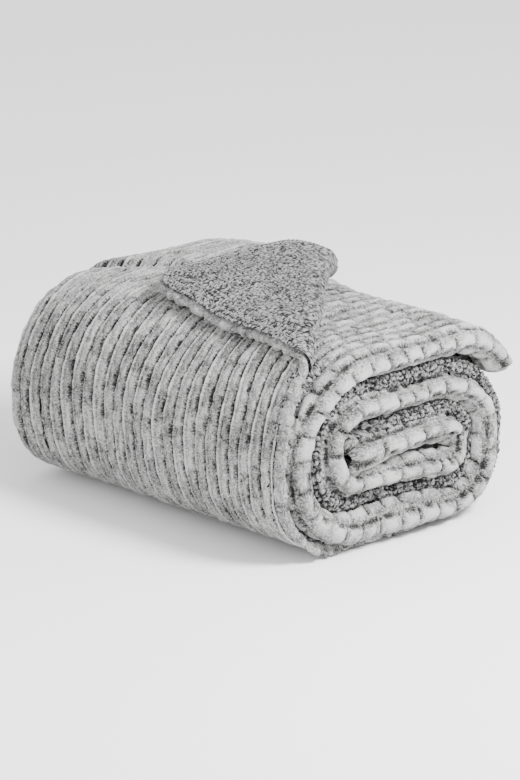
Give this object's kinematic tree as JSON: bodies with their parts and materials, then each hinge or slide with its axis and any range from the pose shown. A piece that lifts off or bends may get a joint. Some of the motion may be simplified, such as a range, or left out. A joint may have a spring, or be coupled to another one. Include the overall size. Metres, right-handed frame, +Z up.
{
  "type": "rolled throw blanket",
  "caption": "Two-sided throw folded in three and rolled into an oval bundle: ribbed grey plush outside, curly sherpa inside, with a free outer end and one corner turned back.",
  "frame": {"origin": "bottom centre of the bundle's box, on the surface it lies on", "axes": "+X along the roll towards the end whose spiral is open to view, +Y towards the overhanging free end, +Z up"},
  "size_m": [0.43, 0.3368, 0.2472],
  "materials": {
    "plush": "short silver-grey plush pile embossed in ribs of staggered tufts",
    "sherpa": "darker grey curly sherpa pile",
    "hem": "smooth plush turned over the edge",
    "thread": "grey sewing thread"
  },
  "bodies": {
    "roll": {"plush_face_roll": "plush", "sherpa_back_roll": "sherpa", "side_hem_near_roll": "hem", "side_seam_near_roll": "thread", "side_hem_far_roll": "hem", "side_seam_far_roll": "thread", "start_hem": "hem", "start_seam": "thread"},
    "wrap": {"plush_face_wrap": "plush", "sherpa_back_wrap": "sherpa", "side_hem_near_wrap": "hem", "side_seam_near_wrap": "thread", "side_hem_far_wrap": "hem", "side_seam_far_wrap": "thread", "end_hem_lower": "hem", "end_seam_lower": "thread", "end_hem_upper": "hem", "end_seam_upper": "thread"},
    "corner": {"plush_face_corner": "plush", "sherpa_back_corner": "sherpa", "corner_hem": "hem", "corner_seam": "thread"}
  },
  "joints": [
    {"name": "wrap_lift", "type": "hinge", "parent": "roll", "child": "wrap", "pos_m": [0, -0.12926, 0.20279], "axis": [1, 0, 0], "range_deg": [0, 60]},
    {"name": "corner_lift", "type": "hinge", "parent": "wrap", "child": "corner", "pos_m": [0.2, -0.11843, 0.2116], "axis": [-0.6716, 0.7399, -0.0394], "range_deg": [0, 60]}
  ]
}
